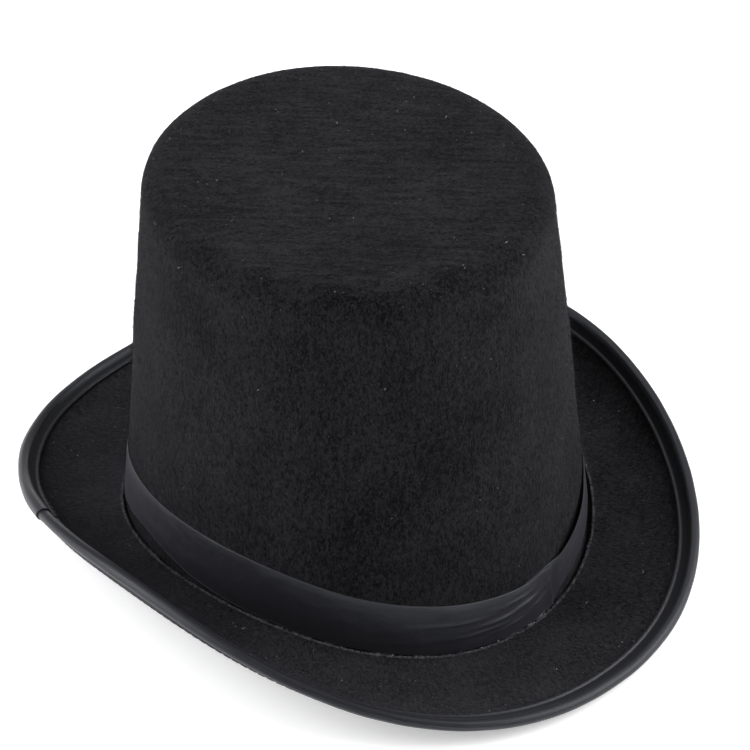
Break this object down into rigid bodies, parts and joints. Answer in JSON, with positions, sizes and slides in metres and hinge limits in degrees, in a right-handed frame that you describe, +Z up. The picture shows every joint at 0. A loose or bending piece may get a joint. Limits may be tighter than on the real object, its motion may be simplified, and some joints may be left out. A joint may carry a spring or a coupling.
{
  "type": "top hat",
  "caption": "Black felt costume top hat: moulded flat-topped crown, brim curled up at the sides, satin band and corded satin edge binding, sweatband inside.",
  "frame": {"origin": "middle of the brim, on the flat surface that the hat rests on, brim down", "axes": "+Z up through the crown's flat top, -Y the way the wearer faces, +X towards the wearer's left"},
  "size_m": [0.252, 0.3012, 0.1805],
  "materials": {
    "felt": "black pressed polyester felt with a short raised fibre",
    "satin_band": "black satin ribbon",
    "satin_binding": "black satin tape, slightly glossy",
    "sweatband_tape": "black ribbed tape",
    "thread": "black sewing thread",
    "cord": "undyed cotton filler cord",
    "glue": "dried clear hot-melt glue"
  },
  "bodies": {
    "root": {"crown_felt": "felt", "brim_felt": "felt", "foot_glue": "glue", "brim_edge_cord": "cord", "brim_binding": "satin_binding", "binding_thread": "thread", "hat_band": "satin_band", "band_glue": "glue", "sweatband": "sweatband_tape", "sweatband_thread": "thread"}
  },
  "joints": []
}
